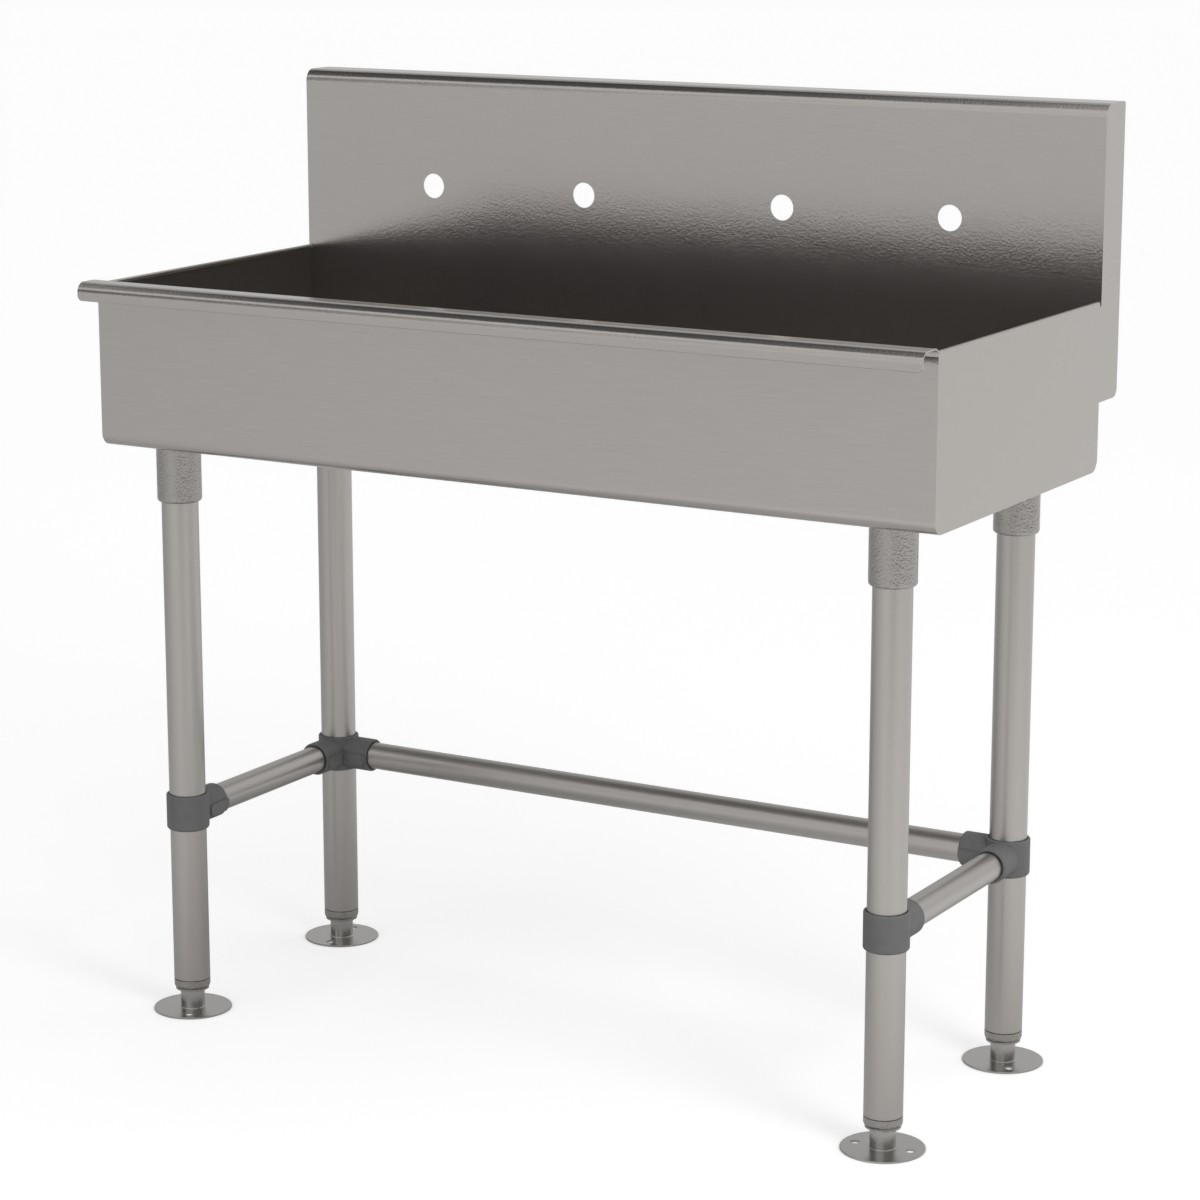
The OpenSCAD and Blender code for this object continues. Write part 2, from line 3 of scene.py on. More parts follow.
import bpy
from mathutils import Euler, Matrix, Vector


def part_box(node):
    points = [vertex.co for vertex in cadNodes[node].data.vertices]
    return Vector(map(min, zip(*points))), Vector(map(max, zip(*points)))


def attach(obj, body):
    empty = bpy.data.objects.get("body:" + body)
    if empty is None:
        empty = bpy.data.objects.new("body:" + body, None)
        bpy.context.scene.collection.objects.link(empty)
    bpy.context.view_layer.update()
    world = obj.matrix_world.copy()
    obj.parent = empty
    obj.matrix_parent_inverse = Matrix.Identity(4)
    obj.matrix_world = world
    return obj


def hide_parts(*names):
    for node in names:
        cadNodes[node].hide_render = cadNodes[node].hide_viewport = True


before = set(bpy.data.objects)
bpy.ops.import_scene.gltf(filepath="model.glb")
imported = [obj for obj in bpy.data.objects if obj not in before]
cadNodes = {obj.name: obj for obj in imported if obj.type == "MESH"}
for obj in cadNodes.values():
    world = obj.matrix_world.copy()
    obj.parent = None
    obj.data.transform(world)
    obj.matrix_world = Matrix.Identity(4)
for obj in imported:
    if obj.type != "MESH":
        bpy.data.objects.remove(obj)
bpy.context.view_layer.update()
print("frame loaded:", len(cadNodes), "nodes")


# small helpers for node trees

def link(tree, a, b):
    tree.links.new(a, b)


def addNode(tree, kind, x=0, y=0, **values):
    n = tree.nodes.new(kind)
    n.location = (x, y)
    for key, value in values.items():
        setattr(n, key, value)
    return n


def newMaterial(name):
    mat = bpy.data.materials.new(name)
    mat.use_nodes = True
    tree = mat.node_tree
    tree.nodes.clear()
    out = addNode(tree, "ShaderNodeOutputMaterial", 900, 0)
    bsdf = addNode(tree, "ShaderNodeBsdfPrincipled", 600, 0)
    link(tree, bsdf.outputs["BSDF"], out.inputs["Surface"])
    return mat, tree, bsdf


even = (1, 1, 1)


def objectPattern(tree, stretch, y=0, own=None):       # object coordinates, or a piece's own attribute
    if own:
        place = addNode(tree, "ShaderNodeAttribute", -1100, y, attribute_name=own).outputs["Vector"]
    else:
        place = addNode(tree, "ShaderNodeTexCoord", -1100, y).outputs["Object"]
    mapping = addNode(tree, "ShaderNodeMapping", -900, y)
    mapping.inputs["Scale"].default_value = stretch       # per axis, so the grain runs one way
    link(tree, place, mapping.inputs["Vector"])
    return mapping.outputs["Vector"]


noiseReach = (0.3, 0.7)       # nearly all of a noise lies between these
noiseSteps = {"detail": 2.0, "share": 0.6}       # finer noise in each pattern, and how much of it


def noise(tree, vector, scale, y=0, detail=noiseSteps["detail"], share=noiseSteps["share"]):
    n = addNode(tree, "ShaderNodeTexNoise", -680, y)
    n.inputs["Scale"].default_value = scale
    n.inputs["Detail"].default_value = detail
    n.inputs["Roughness"].default_value = share
    link(tree, vector, n.inputs["Vector"])
    return n.outputs["Fac"]


def spread(tree, value, reach, y=0):       # a noise value, mapped to a range
    n = addNode(tree, "ShaderNodeMapRange", -460, y)
    n.inputs["From Min"].default_value, n.inputs["From Max"].default_value = noiseReach
    n.inputs["To Min"].default_value, n.inputs["To Max"].default_value = reach
    link(tree, value, n.inputs["Value"])
    return n.outputs["Result"]


def tint(tree, value, dark, light, y=0):
    n = addNode(tree, "ShaderNodeValToRGB", -460, y)
    for stop, place, colour in zip(n.color_ramp.elements, noiseReach, (dark, light)):
        stop.position = place
        stop.color = (*colour, 1)
    link(tree, value, n.inputs["Fac"])
    return n.outputs["Color"]


def bump(tree, height, strength, distance, y=0, over=None):
    n = addNode(tree, "ShaderNodeBump", 300, y)
    n.inputs["Strength"].default_value = strength
    n.inputs["Distance"].default_value = distance
    link(tree, height, n.inputs["Height"])
    if over is not None:
        link(tree, over, n.inputs["Normal"])
    return n.outputs["Normal"]


def grey(value):
    return (value, value, value, 1)


def maths(tree, operation, a, b, x=0, y=0):
    n = addNode(tree, "ShaderNodeMath", x, y, operation=operation)
    for socket, value in zip(n.inputs, (a, b)):
        if isinstance(value, (int, float)):
            socket.default_value = value
        else:
            link(tree, value, socket)
    return n.outputs[0]


# metals: grain along one axis, slow waves in the sheet, and a faint pebble

def brushedMetal(name, dark, light, rough, grain, wave, pebble, own=None, metallic=1.0):
    mat, tree, bsdf = newMaterial(name)
    lines = noise(tree, objectPattern(tree, grain["stretch"], 300, own), grain["scale"], 300)
    slow = noise(tree, objectPattern(tree, even, -100, own), wave["scale"], -100, share=wave["share"])
    fine = noise(tree, objectPattern(tree, even, -500, own), pebble["scale"], -500)
    link(tree, tint(tree, lines, dark, light, 300), bsdf.inputs["Base Color"])
    link(tree, spread(tree, lines, rough, 60), bsdf.inputs["Roughness"])
    bsdf.inputs["Metallic"].default_value = metallic
    n = bump(tree, slow, wave["strength"], wave["height"], -100)
    n = bump(tree, fine, pebble["strength"], pebble["height"], -300, n)
    n = bump(tree, lines, grain["strength"], grain["height"], -500, n)
    link(tree, n, bsdf.inputs["Normal"])
    return mat


sheetLook = {
    "rough": (0.162, 0.168), "metallic": 0.94,
    "wave": {"scale": 9.0, "share": 0.5, "strength": 0.08, "height": 0.004},
    "pebble": {"scale": 420.0, "strength": 0.25, "height": 0.0004},
}
shellLook = {
    "dark": (0.408, 0.387, 0.370), "light": (0.432, 0.410, 0.392),
    "grain": {"stretch": (1, 40, 40), "scale": 28.0, "strength": 0.01, "height": 0.0003}, **sheetLook,
}
panelLook = {
    "dark": (0.412, 0.393, 0.371), "light": (0.436, 0.416, 0.393),
    "grain": {"stretch": (40, 1, 40), "scale": 28.0, "strength": 0.01, "height": 0.0003}, **sheetLook,
}
uprightGrain = {"stretch": (30, 30, 1), "scale": 60.0, "strength": 0.015, "height": 0.0002}
tubeLook = {
    "dark": (0.426, 0.408, 0.389), "light": (0.440, 0.421, 0.402), "rough": (0.33, 0.37),
    "wave": {"scale": 30.0, "share": 0.5, "strength": 0.03, "height": 0.001},
    "pebble": {"scale": 420.0, "strength": 0.6, "height": 0.0003},
    "grain": uprightGrain, "own": "tubePlace",
}
socketLook = {
    "dark": (0.328, 0.314, 0.300), "light": (0.357, 0.343, 0.326), "rough": (0.16, 0.22),
    "wave": {"scale": 60.0, "share": 0.5, "strength": 0.05, "height": 0.001},
    "pebble": {"scale": 380.0, "strength": 1.0, "height": 0.0011},
    "grain": uprightGrain,
}
footLook = {
    "dark": (0.420, 0.410, 0.394), "light": (0.450, 0.440, 0.424), "rough": (0.20, 0.27),
    "wave": {"scale": 60.0, "share": 0.5, "strength": 0.05, "height": 0.001},
    "pebble": {"scale": 700.0, "strength": 0.5, "height": 0.0003},
    "grain": uprightGrain,
}

shellSteel = brushedMetal("shellSteel", **shellLook)
panelSteel = brushedMetal("panelSteel", **panelLook)
tubeSteel = brushedMetal("tubeSteel", **tubeLook)
socketSteel = brushedMetal("socketSteel", **socketLook)
footSteel = brushedMetal("footSteel", **footLook)


# dull finishes: soft clouds of tone and a fine grit

dullGrain = {"cloudScale": 60.0, "cloudDetail": 4.0, "gritScale": 1400.0, "strength": 0.25, "height": 0.0002}
dullLooks = {
    "clampGrey": {"dark": (0.130, 0.130, 0.130), "light": (0.150, 0.150, 0.150), "rough": (0.55, 0.7)},
    "rubberBlack": {"dark": (0.018, 0.018, 0.018), "light": (0.026, 0.026, 0.026), "rough": (0.6, 0.75)},
    "fibreBrown": {"dark": (0.25, 0.19, 0.13), "light": (0.34, 0.26, 0.18), "rough": (0.8, 0.95)},
    "screwSteel": {"dark": (0.05, 0.05, 0.05), "light": (0.08, 0.08, 0.08), "rough": (0.4, 0.5)},
}


def dullFinish(name, dark, light, rough):
    mat, tree, bsdf = newMaterial(name)
    place = objectPattern(tree, even)
    cloud = noise(tree, place, dullGrain["cloudScale"], 200, dullGrain["cloudDetail"])
    grit = noise(tree, place, dullGrain["gritScale"], -300)
    link(tree, tint(tree, cloud, dark, light, 200), bsdf.inputs["Base Color"])
    link(tree, spread(tree, grit, rough), bsdf.inputs["Roughness"])
    link(tree, bump(tree, grit, dullGrain["strength"], dullGrain["height"], -300), bsdf.inputs["Normal"])
    return mat


clampGrey, rubberBlack, fibreBrown, screwSteel = (
    dullFinish(name, **look) for name, look in dullLooks.items())

nodeLooks = {       # by the start of a node's name, and the first that fits counts
    "basin_shell": shellSteel, "end_panel": panelSteel, "leg_socket": socketSteel, "leg_": tubeSteel,
    "side_rail": tubeSteel, "rear_rail": tubeSteel, "rail_clamp": clampGrey, "corner_clamp": clampGrey,
    "foot_insert": socketSteel, "foot_stem": footSteel, "floor_flange": footSteel,
    "socket_set": screwSteel, "clamp_set": screwSteel, "drain_body": shellSteel,
    "drain_gasket": rubberBlack, "drain_friction": fibreBrown, "drain_lock": footSteel,
    "strainer_basket": footSteel, "strainer_post": footSteel, "strainer_stopper": rubberBlack,
}
for nodeName, obj in cadNodes.items():
    key = next(k for k in nodeLooks if nodeName.startswith(k))
    obj.data.materials.clear()
    obj.data.materials.append(nodeLooks[key])
print("materials done")


# geometry nodes: one tree for each kind of piece

def geoTree(name, inputs):       # the modifier's inputs are set by the identifiers that this returns
    tree = bpy.data.node_groups.new(name, "GeometryNodeTree")
    tree.interface.new_socket(name="Geometry", in_out="INPUT", socket_type="NodeSocketGeometry")
    ids = {}
    for label, kind in inputs:
        socket = tree.interface.new_socket(name=label, in_out="INPUT", socket_type="NodeSocket" + kind)
        ids[label] = socket.identifier
    tree.interface.new_socket(name="Geometry", in_out="OUTPUT", socket_type="NodeSocketGeometry")
    return tree, addNode(tree, "NodeGroupInput", -1400, 0), ids


def endTree(tree, source, geometry, sharpAngle):       # real mesh, sharp edges by angle, one material
    real = addNode(tree, "GeometryNodeRealizeInstances", 600, 0)
    smooth = addNode(tree, "GeometryNodeSetShadeSmooth", 760, 0)
    angle = addNode(tree, "GeometryNodeInputMeshEdgeAngle", 600, -200)
    sharp = addNode(tree, "FunctionNodeCompare", 760, -200, operation="GREATER_THAN")
    edges = addNode(tree, "GeometryNodeSetShadeSmooth", 920, 0, domain="EDGE")
    paint = addNode(tree, "GeometryNodeSetMaterial", 1080, 0)
    out = addNode(tree, "NodeGroupOutput", 1240, 0)
    sharp.inputs["B"].default_value = math.radians(sharpAngle)
    edges.inputs["Shade Smooth"].default_value = False
    link(tree, geometry, real.inputs["Geometry"])
    link(tree, real.outputs["Geometry"], smooth.inputs["Geometry"])
    link(tree, angle.outputs["Unsigned Angle"], sharp.inputs["A"])
    link(tree, sharp.outputs["Result"], edges.inputs["Selection"])
    link(tree, smooth.outputs["Geometry"], edges.inputs["Geometry"])
    link(tree, edges.outputs["Geometry"], paint.inputs["Geometry"])
    link(tree, source.outputs["Material"], paint.inputs["Material"])
    link(tree, paint.outputs["Geometry"], out.inputs["Geometry"])


def plainPiece(name, tree, ids, values, base=None):       # the tree's result as a plain mesh
    host = bpy.data.objects.new(name + "Host", base or bpy.data.meshes.new(name + "Host"))
    bpy.context.scene.collection.objects.link(host)
    mod = host.modifiers.new("nodes", "NODES")
    mod.node_group = tree
    for label, value in values.items():
        mod[ids[label]] = value
    mesh = bpy.data.meshes.new_from_object(host.evaluated_get(bpy.context.evaluated_depsgraph_get()))
    host.modifiers.remove(mod)
    bpy.data.objects.remove(host)
    mesh.name = name
    piece = bpy.data.objects.new(name, mesh)
    bpy.context.scene.collection.objects.link(piece)
    return piece


def dress(piece, body, node):
    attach(piece, body)
    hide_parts(node)


def nodeMiddle(node):
    low, high = (Vector(corner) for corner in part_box(node))
    return (low + high) / 2


# legs and rails: a wall section swept round a circle and laid along the tube's line

tubeSizes = {"legWall": 0.00165, "railWall": 0.0015, "endChamfer": 0.0004, "sides": 96, "sharpAngle": 25}


def tubeTree():
    tree, source, ids = geoTree("tubeAlongLine", [
        ("Start", "Vector"), ("End", "Vector"), ("Diameter", "Float"), ("Wall", "Float"),
        ("End Chamfer", "Float"), ("Sides", "Int"), ("Material", "Material")])
    line = addNode(tree, "ShaderNodeVectorMath", -1200, 200, operation="SUBTRACT")
    length = addNode(tree, "ShaderNodeVectorMath", -1040, 300, operation="LENGTH")
    middle = addNode(tree, "ShaderNodeMix", -1040, 100, data_type="VECTOR")
    across = maths(tree, "SUBTRACT", source.outputs["Diameter"], source.outputs["Wall"], -1040, -100)
    radius = maths(tree, "MULTIPLY", across, 0.5, -880, -100)
    section = addNode(tree, "GeometryNodeCurvePrimitiveQuadrilateral", -800, 200)
    chamfer = addNode(tree, "GeometryNodeFilletCurve", -640, 200)
    circle = addNode(tree, "GeometryNodeCurvePrimitiveCircle", -640, -100)
    wall = addNode(tree, "GeometryNodeCurveToMesh", -440, 100)
    turn = addNode(tree, "FunctionNodeAlignRotationToVector", -440, -100, axis="Z")
    place = addNode(tree, "GeometryNodeTransform", -240, 100)
    middle.inputs["Factor"].default_value = 0.5
    link(tree, source.outputs["End"], line.inputs[0])
    link(tree, source.outputs["Start"], line.inputs[1])
    link(tree, line.outputs[0], length.inputs[0])
    link(tree, source.outputs["Start"], middle.inputs["A"])
    link(tree, source.outputs["End"], middle.inputs["B"])
    link(tree, source.outputs["Wall"], section.inputs["Width"])
    link(tree, length.outputs["Value"], section.inputs["Height"])
    link(tree, section.outputs["Curve"], chamfer.inputs["Curve"])
    link(tree, source.outputs["End Chamfer"], chamfer.inputs["Radius"])
    link(tree, source.outputs["Sides"], circle.inputs["Resolution"])
    link(tree, radius, circle.inputs["Radius"])
    link(tree, circle.outputs["Curve"], wall.inputs["Curve"])
    link(tree, chamfer.outputs["Curve"], wall.inputs["Profile Curve"])
    here = addNode(tree, "GeometryNodeInputPosition", -640, 400)
    apart = addNode(tree, "ShaderNodeVectorMath", -640, 500, operation="ADD")       # no two tubes alike
    own = addNode(tree, "GeometryNodeStoreNamedAttribute", -340, 300, data_type="FLOAT_VECTOR")
    own.domain = "POINT"
    own.inputs["Name"].default_value = "tubePlace"
    link(tree, here.outputs["Position"], apart.inputs[0])
    link(tree, source.outputs["Start"], apart.inputs[1])
    link(tree, wall.outputs["Mesh"], own.inputs["Geometry"])
    link(tree, apart.outputs[0], own.inputs["Value"])
    link(tree, line.outputs[0], turn.inputs["Vector"])
    link(tree, own.outputs["Geometry"], place.inputs["Geometry"])
    link(tree, middle.outputs["Result"], place.inputs["Translation"])
    link(tree, turn.outputs["Rotation"], place.inputs["Rotation"])
    endTree(tree, source, place.outputs["Geometry"], tubeSizes["sharpAngle"])
    return tree, ids


def makeTubes():
    tree, ids = tubeTree()
    for node in [name for name, obj in cadNodes.items() if obj.data.materials[0] == tubeSteel]:
        low, high = (Vector(corner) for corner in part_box(node))
        size = high - low
        along = max(range(3), key=lambda i: size[i])
        start = nodeMiddle(node)
        end = start.copy()
        start[along], end[along] = low[along], high[along]
        wall = tubeSizes["legWall"] if node.startswith("leg_") else tubeSizes["railWall"]
        piece = plainPiece(node + ".tube", tree, ids, {
            "Start": start, "End": end, "Diameter": min(size), "Wall": wall,
            "End Chamfer": tubeSizes["endChamfer"], "Sides": tubeSizes["sides"], "Material": tubeSteel})
        dress(piece, "sink", node)


makeTubes()
print("tubes done")


# set screws: one screw with a hexagon socket, set at points that carry the way it faces

screwSizes = {
    "diameter": 0.006, "hexagon": 0.0035, "hexDepth": 0.003, "pointChamfer": 0.0007, "sides": 32,
    "socketLength": 0.0041, "collarLength": 0.0033, "hubLength": 0.0034,
    "legBore": 0.02075, "hubBore": 0.015975, "socketUp": 0.6175, "hubAlong": 0.0385,
    "collarTurn": {"front": 20.0, "rear": 45.0}, "sharpAngle": 35,       # degrees
}


def screwTree():
    tree, source, ids = geoTree("setScrews", [
        ("Diameter", "Float"), ("Length", "Float"), ("Hexagon", "Float"), ("Hexagon Depth", "Float"),
        ("Point Chamfer", "Float"), ("Sides", "Int"), ("Material", "Material")])
    radius = maths(tree, "MULTIPLY", source.outputs["Diameter"], 0.5, -1200, 100)
    chamfer = source.outputs["Point Chamfer"]
    tip = maths(tree, "SUBTRACT", radius, chamfer, -1040, 100)
    taper = maths(tree, "DIVIDE", tip, radius, -880, 100)
    hexRadius = maths(tree, "MULTIPLY", source.outputs["Hexagon"], 0.5, -1200, -100)
    shankLength = maths(tree, "SUBTRACT", source.outputs["Length"], chamfer, -1040, 0)
    middle = maths(tree, "MULTIPLY", shankLength, 0.5, -1040, 400)
    lift = maths(tree, "ADD", middle, chamfer, -880, 400)
    shank = addNode(tree, "GeometryNodeMeshCylinder", -880, 300)
    point = addNode(tree, "GeometryNodeExtrudeMesh", -720, 300, mode="FACES")
    cone = addNode(tree, "GeometryNodeScaleElements", -560, 300, domain="FACE")       # the end, narrowed
    link(tree, source.outputs["Sides"], shank.inputs["Vertices"])
    link(tree, radius, shank.inputs["Radius"])
    link(tree, shankLength, shank.inputs["Depth"])
    link(tree, shank.outputs["Mesh"], point.inputs["Mesh"])
    link(tree, shank.outputs["Bottom"], point.inputs["Selection"])
    link(tree, chamfer, point.inputs["Offset Scale"])
    link(tree, point.outputs["Mesh"], cone.inputs["Geometry"])
    link(tree, point.outputs["Top"], cone.inputs["Selection"])
    link(tree, taper, cone.inputs["Scale"])
    pocket = addNode(tree, "GeometryNodeMeshCylinder", -560, -100)
    pocketDepth = maths(tree, "MULTIPLY", source.outputs["Hexagon Depth"], 2.0, -720, -200)
    pocket.inputs["Vertices"].default_value = 6       # and half of its depth stands clear of the head
    link(tree, hexRadius, pocket.inputs["Radius"])
    link(tree, pocketDepth, pocket.inputs["Depth"])
    screw = addNode(tree, "GeometryNodeMeshBoolean", -220, 100, operation="DIFFERENCE", solver="EXACT")
    for shape, geometry, up in ((cone, "Geometry", lift), (pocket, "Mesh", source.outputs["Length"])):
        offset = addNode(tree, "ShaderNodeCombineXYZ", -560, 0)
        moved = addNode(tree, "GeometryNodeTransform", -400, 0)
        link(tree, up, offset.inputs["Z"])
        link(tree, shape.outputs[geometry], moved.inputs["Geometry"])
        link(tree, offset.outputs["Vector"], moved.inputs["Translation"])
        link(tree, moved.outputs["Geometry"], screw.inputs["Mesh 1" if shape is cone else "Mesh 2"])
    facing = addNode(tree, "GeometryNodeInputNamedAttribute", -380, -200, data_type="FLOAT_VECTOR")
    facing.inputs["Name"].default_value = "facing"
    turn = addNode(tree, "FunctionNodeAlignRotationToVector", -220, -200, axis="Z")
    points = addNode(tree, "GeometryNodeMeshToPoints", -220, 400)
    placed = addNode(tree, "GeometryNodeInstanceOnPoints", 0, 200)
    link(tree, facing.outputs["Attribute"], turn.inputs["Vector"])
    link(tree, source.outputs["Geometry"], points.inputs["Mesh"])
    link(tree, points.outputs["Points"], placed.inputs["Points"])
    link(tree, screw.outputs["Mesh"], placed.inputs["Instance"])
    link(tree, turn.outputs["Rotation"], placed.inputs["Rotation"])
    endTree(tree, source, placed.outputs["Instances"], screwSizes["sharpAngle"])
    return tree, ids


def screwPoints(name, places):       # a mesh of bare points, each with the way its screw faces
    mesh = bpy.data.meshes.new(name)
    mesh.from_pydata([place for place, _ in places], [], [])
    facing = mesh.attributes.new("facing", "FLOAT_VECTOR", "POINT")
    for item, (_, way) in zip(facing.data, places):
        item.vector = way
    return mesh


def screwPlaces():       # where each screw's point stands and the way its hexagon faces
    legBore, hubAlong = screwSizes["legBore"], screwSizes["hubAlong"]
    railUp = nodeMiddle("rear_rail").z
    under = railUp - screwSizes["hubBore"]
    down = (0, 0, -1)
    socket, collar, hub = [], [], []
    for side, sideName in ((-1, "left"), (1, "right")):
        for end, turn in screwSizes["collarTurn"].items():
            x, y, _ = nodeMiddle("leg_" + end + "_" + sideName)
            turn = math.radians(turn)
            way = Vector((side * math.cos(turn), math.sin(turn), 0))
            socket.append(((x, y + legBore, screwSizes["socketUp"]), (0, 1, 0)))
            collar.append((Vector((x, y, railUp)) + way * legBore, way))
            if end == "front":
                hub.append(((x, y + hubAlong, under), down))
            else:
                hub.append(((x, y - hubAlong, under), down))
                hub.append(((x - side * hubAlong, y, under), down))
    return socket, collar, hub


def makeScrews():
    tree, ids = screwTree()
    socket, collar, hub = screwPlaces()
    values = {
        "Diameter": screwSizes["diameter"], "Hexagon": screwSizes["hexagon"],
        "Hexagon Depth": screwSizes["hexDepth"], "Point Chamfer": screwSizes["pointChamfer"],
        "Sides": screwSizes["sides"], "Material": screwSteel}
    for name, places, length, node in (
            ("socket_set_screws.set", socket, "socketLength", "socket_set_screws"),
            ("collar_set_screws.set", collar, "collarLength", "clamp_set_screws"),
            ("hub_set_screws.set", hub, "hubLength", "clamp_set_screws")):
        values["Length"] = screwSizes[length]
        piece = plainPiece(name, tree, ids, values, screwPoints(name + "Places", places))
        dress(piece, "sink", node)


makeScrews()
print("set screws done")


# floor, light and camera

studio = {
    "floor": 0.60, "floorSize": 60.0, "floorRough": 0.9,
    "floorFill": 0.515, "mirrorFill": 0.465,       # the floor's own glow, seen and mirrored
    "crevice": 0.012, "creviceRays": 4,       # painted contact shade: none of that glow reaches into gaps narrower than this
    "floorSide": (0.985, -0.174, 0.0), "skySide": (0.766, -0.643, 0.0),       # lighter towards here
    "sideShares": ((0.0, 0.22), (0.10, 0.48), (0.29, 0.78), (0.38, 0.82), (0.52, 0.93), (0.68, 1.0)),
    "skySpread": 0.50,       # how much of the sky's light follows those shares
    "underShadowReach": (0.35, 1.20), "underShadowShare": 0.35,       # painted shadow of the sink: the floor is darker under it, in reflections
    "gapSide": (0.530, -0.848, 0.0), "gapWide": (0.93, 0.985),       # a dark gap towards the camera
    "gapHigh": (-0.03, 0.04), "gapTop": (0.08, 0.14), "gapShare": 0.15,       # low in the sky
    "gapFar": (2.5, 3.4),       # and from this far out on the floor
    "lowSides": (((0.996, -0.087, 0.0), (0.50, 0.78)), ((-0.940, -0.342, 0.0), (0.72, 0.90))),
    "lowFrom": (0.03, 0.09), "lowTo": (0.34, 0.48), "lowShare": 0.08,       # darker low sky at both sides
    "patchLeft": (-0.63, -0.605), "patchRight": (-0.43, -0.34),       # darker ceiling patch, by x
    "patchFront": (-0.82, -0.64), "patchBack": (0.45, 0.65), "patchShare": 0.06,       # and by y over z
    "lampPlace": (2.20, -0.90, 1.80), "lampAim": (0.1, 0.0, 0.3), "lampSize": 1.0, "lampPower": 22.0,
}


def towards(tree, vector, side, y=0):       # cosine between a direction's level part and a side
    level = addNode(tree, "ShaderNodeVectorMath", -900, y, operation="MULTIPLY")
    unit = addNode(tree, "ShaderNodeVectorMath", -740, y, operation="NORMALIZE")
    along = addNode(tree, "ShaderNodeVectorMath", -580, y, operation="DOT_PRODUCT")
    level.inputs[1].default_value = (1, 1, 0)
    along.inputs[1].default_value = side
    link(tree, vector, level.inputs[0])
    link(tree, level.outputs[0], unit.inputs[0])
    link(tree, unit.outputs[0], along.inputs[0])
    return along.outputs["Value"]


def mapped(tree, value, fromRange, toRange, y=0):
    n = addNode(tree, "ShaderNodeMapRange", -420, y, interpolation_type="SMOOTHSTEP")
    n.inputs["From Min"].default_value, n.inputs["From Max"].default_value = fromRange
    n.inputs["To Min"].default_value, n.inputs["To Max"].default_value = toRange
    link(tree, value, n.inputs["Value"])
    return n.outputs["Result"]


def sideShare(tree, vector, side, y=0):       # how light the studio is in a level direction, 0 to 1
    share = addNode(tree, "ShaderNodeMapRange", -420, y)
    ramp = addNode(tree, "ShaderNodeValToRGB", -240, y)
    share.inputs["From Min"].default_value = -1
    link(tree, towards(tree, vector, side, y), share.inputs["Value"])
    link(tree, share.outputs["Result"], ramp.inputs["Fac"])
    stops = studio["sideShares"]
    ramp.color_ramp.elements[0].position, ramp.color_ramp.elements[1].position = stops[0][0], stops[-1][0]
    ramp.color_ramp.elements[0].color = grey(stops[0][1])
    ramp.color_ramp.elements[-1].color = grey(stops[-1][1])
    for place, value in stops[1:-1]:
        ramp.color_ramp.elements.new(place).color = grey(value)
    return ramp.outputs["Color"]


def makeFloor():
    half = studio["floorSize"] / 2
    mesh = bpy.data.meshes.new("floor")
    corners = [(-half, -half, 0), (half, -half, 0), (half, half, 0), (-half, half, 0)]
    mesh.from_pydata(corners, [], [(0, 1, 2, 3)])
    floor = bpy.data.objects.new("floor", mesh)
    bpy.context.scene.collection.objects.link(floor)
    mat, tree, bsdf = newMaterial("floorWhite")
    bsdf.inputs["Base Color"].default_value = grey(studio["floor"])
    bsdf.inputs["Roughness"].default_value = studio["floorRough"]
    bsdf.inputs["Specular IOR Level"].default_value = 0
    path = addNode(tree, "ShaderNodeLightPath", -1100, -400)
    place = addNode(tree, "ShaderNodeNewGeometry", -1100, -100)
    away = addNode(tree, "ShaderNodeVectorMath", -740, -200, operation="LENGTH")
    link(tree, place.outputs["Position"], away.inputs[0])
    # painted shadow under the sink, in the mirrored glow only
    under = mapped(tree, away.outputs["Value"], studio["underShadowReach"], (studio["underShadowShare"], 1))
    side = sideShare(tree, place.outputs["Position"], studio["floorSide"], 200)
    shade = maths(tree, "MULTIPLY", side, under, 60, -100)
    gap = mapped(tree, towards(tree, place.outputs["Position"], studio["gapSide"], -600),
                 studio["gapWide"], (0, 1 - studio["gapShare"]), -600)
    far = mapped(tree, away.outputs["Value"], studio["gapFar"], (0, 1), -800)
    gap = maths(tree, "SUBTRACT", 1, maths(tree, "MULTIPLY", gap, far, 0, -600), 60, -600)
    shade = maths(tree, "MULTIPLY", shade, gap, 130, -100)
    mirrored = maths(tree, "MULTIPLY", shade, path.outputs["Is Glossy Ray"], 200, -100)
    mirrored = maths(tree, "MULTIPLY", mirrored, studio["mirrorFill"], 300, -100)
    seen = maths(tree, "MULTIPLY", path.outputs["Is Camera Ray"], studio["floorFill"], 300, -300)
    # painted contact shade: occlusion within the crevice distance darkens the glow, seen and mirrored
    clear = addNode(tree, "ShaderNodeAmbientOcclusion", 300, -600, samples=studio["creviceRays"])
    clear.inputs["Distance"].default_value = studio["crevice"]
    glow = maths(tree, "ADD", mirrored, seen, 420, -200)
    glow = maths(tree, "MULTIPLY", glow, clear.outputs["AO"], 500, -300)
    bsdf.inputs["Emission Color"].default_value = grey(1)
    link(tree, glow, bsdf.inputs["Emission Strength"])
    mesh.materials.append(mat)


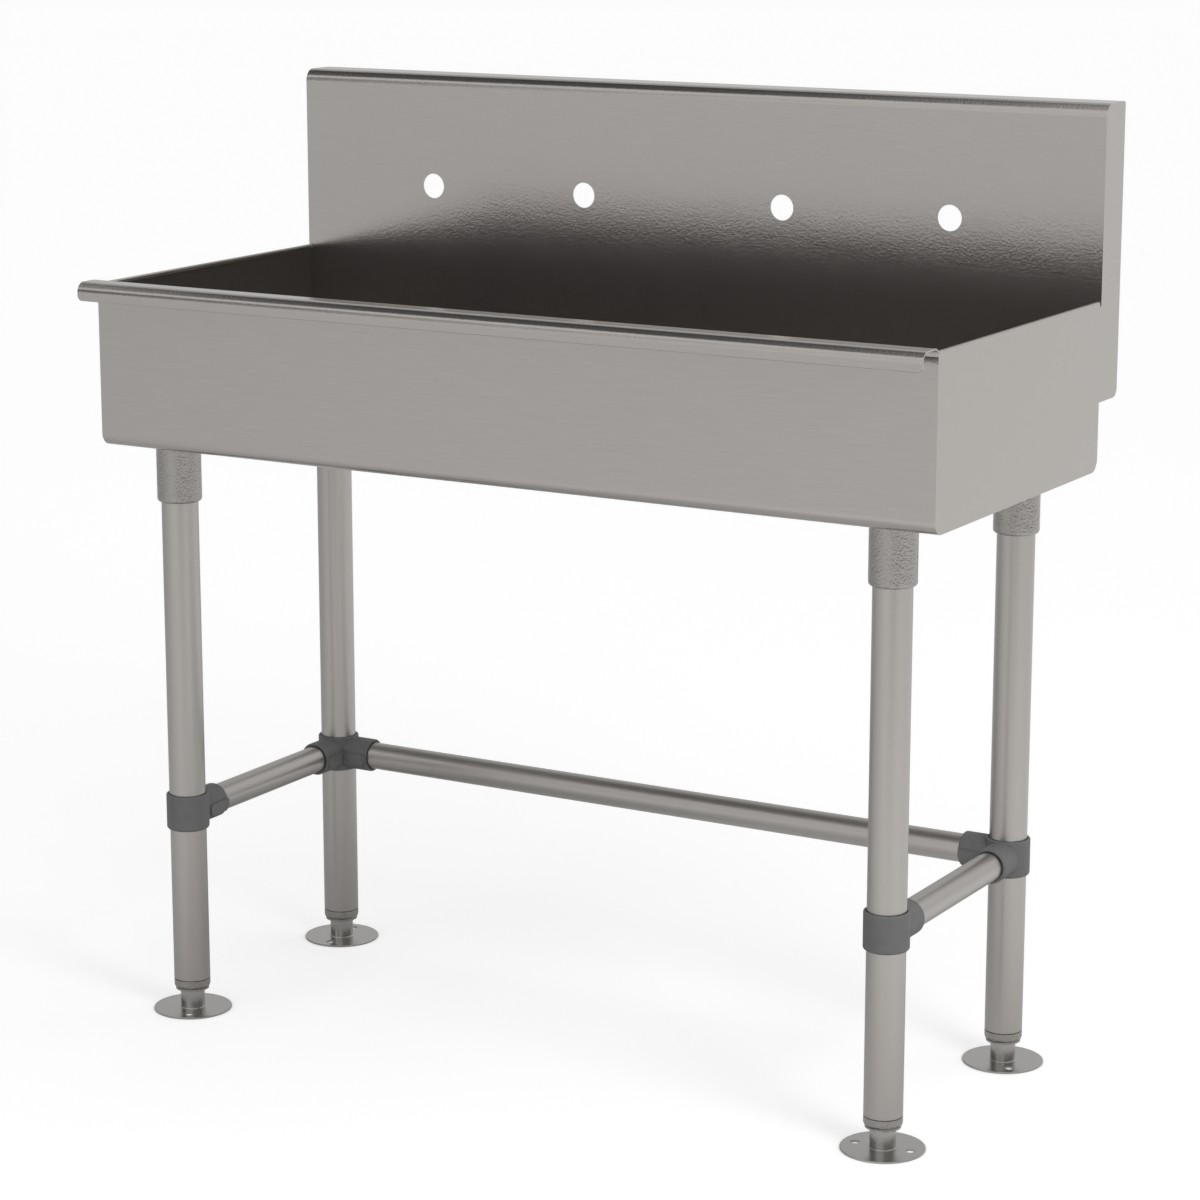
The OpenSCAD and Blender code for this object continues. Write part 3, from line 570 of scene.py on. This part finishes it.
def makeWorld():
    world = bpy.data.worlds.new("studio")
    bpy.context.scene.world = world
    world.use_nodes = True
    tree = world.node_tree
    tree.nodes.clear()
    out = addNode(tree, "ShaderNodeOutputWorld", 600, 0)
    back = addNode(tree, "ShaderNodeBackground", 400, 0)
    coord = addNode(tree, "ShaderNodeTexCoord", -1100, 0)
    parts = addNode(tree, "ShaderNodeSeparateXYZ", -900, 300)
    path = addNode(tree, "ShaderNodeLightPath", -400, -300)
    link(tree, coord.outputs["Generated"], parts.inputs["Vector"])
    side = sideShare(tree, coord.outputs["Generated"], studio["skySide"])
    side = maths(tree, "MULTIPLY", side, studio["skySpread"], 60, 0)
    side = maths(tree, "ADD", side, 1 - studio["skySpread"], 140, 0)
    slope = maths(tree, "DIVIDE", parts.outputs["Y"], parts.outputs["Z"], -700, 600)
    patch = mapped(tree, parts.outputs["X"], studio["patchLeft"], (0, 1), 400)
    for value, edge, ends in ((parts.outputs["X"], "patchRight", (1, 0)), (slope, "patchFront", (0, 1)),
                              (slope, "patchBack", (1, 0)), (parts.outputs["Z"], "gapHigh", (0, 1))):
        inside = mapped(tree, value, studio[edge], ends, 600)
        patch = maths(tree, "MULTIPLY", patch, inside, -240, 500)
    patch = maths(tree, "MULTIPLY", patch, 1 - studio["patchShare"], -100, 500)
    sky = maths(tree, "MULTIPLY", side, maths(tree, "SUBTRACT", 1, patch, 60, 500), 220, 0)
    gap = mapped(tree, towards(tree, coord.outputs["Generated"], studio["gapSide"], -600),
                 studio["gapWide"], (0, 1 - studio["gapShare"]), -600)
    high = mapped(tree, parts.outputs["Z"], studio["gapHigh"], (0, 1), -800)
    top = mapped(tree, parts.outputs["Z"], studio["gapTop"], (1, 0), -900)
    gap = maths(tree, "MULTIPLY", gap, maths(tree, "MULTIPLY", high, top, -60, -800), 60, -600)
    sky = maths(tree, "MULTIPLY", sky, maths(tree, "SUBTRACT", 1, gap, 140, -600), 260, -200)
    low = maths(tree, "MULTIPLY", mapped(tree, parts.outputs["Z"], studio["lowFrom"], (0, 1), -1000),
                mapped(tree, parts.outputs["Z"], studio["lowTo"], (1, 0), -1100), -240, -1000)
    for facing, wide in studio["lowSides"]:
        dark = mapped(tree, towards(tree, coord.outputs["Generated"], facing, -1200),
                      wide, (0, 1 - studio["lowShare"]), -1200)
        dark = maths(tree, "SUBTRACT", 1, maths(tree, "MULTIPLY", dark, low, -60, -1200), 60, -1200)
        sky = maths(tree, "MULTIPLY", sky, dark, 280, -200)
    sky = maths(tree, "MAXIMUM", sky, path.outputs["Is Camera Ray"], 300, 0)
    link(tree, sky, back.inputs["Strength"])
    link(tree, back.outputs["Background"], out.inputs["Surface"])
    back.inputs["Color"].default_value = grey(1)


def makeLamp():
    data = bpy.data.lights.new("softLamp", "AREA")
    data.shape = "DISK"
    data.size = studio["lampSize"]
    data.energy = studio["lampPower"]
    lamp = bpy.data.objects.new("softLamp", data)
    bpy.context.scene.collection.objects.link(lamp)
    lamp.location = studio["lampPlace"]
    aim = Vector(studio["lampAim"]) - Vector(studio["lampPlace"])
    lamp.rotation_euler = aim.to_track_quat("-Z", "Y").to_euler()
    lamp.visible_camera = False
    lamp.visible_glossy = False       # it shades the cast clamps and draws no spot on the steel


cameraLook = {
    "place": (1.9220, -3.2934, 1.3516), "yaw": 0.52625, "pitch": -0.21983,       # radians
    "focalPx": 3545.5, "imagePx": 1200, "sensor": 36.0, "clip": (0.05, 100),
}


def makeCamera():
    data = bpy.data.cameras.new("camera")
    cam = bpy.data.objects.new("camera", data)
    bpy.context.scene.collection.objects.link(cam)
    data.sensor_width = cameraLook["sensor"]
    data.lens = cameraLook["focalPx"] * cameraLook["sensor"] / cameraLook["imagePx"]
    data.clip_start, data.clip_end = cameraLook["clip"]
    cam.location = cameraLook["place"]
    cam.rotation_euler = Euler((math.pi / 2 + cameraLook["pitch"], 0, cameraLook["yaw"]), "XYZ")
    bpy.context.scene.camera = cam


makeFloor()
makeWorld()
makeLamp()
makeCamera()
bpy.context.scene.view_settings.view_transform = "Standard"
print("studio done")
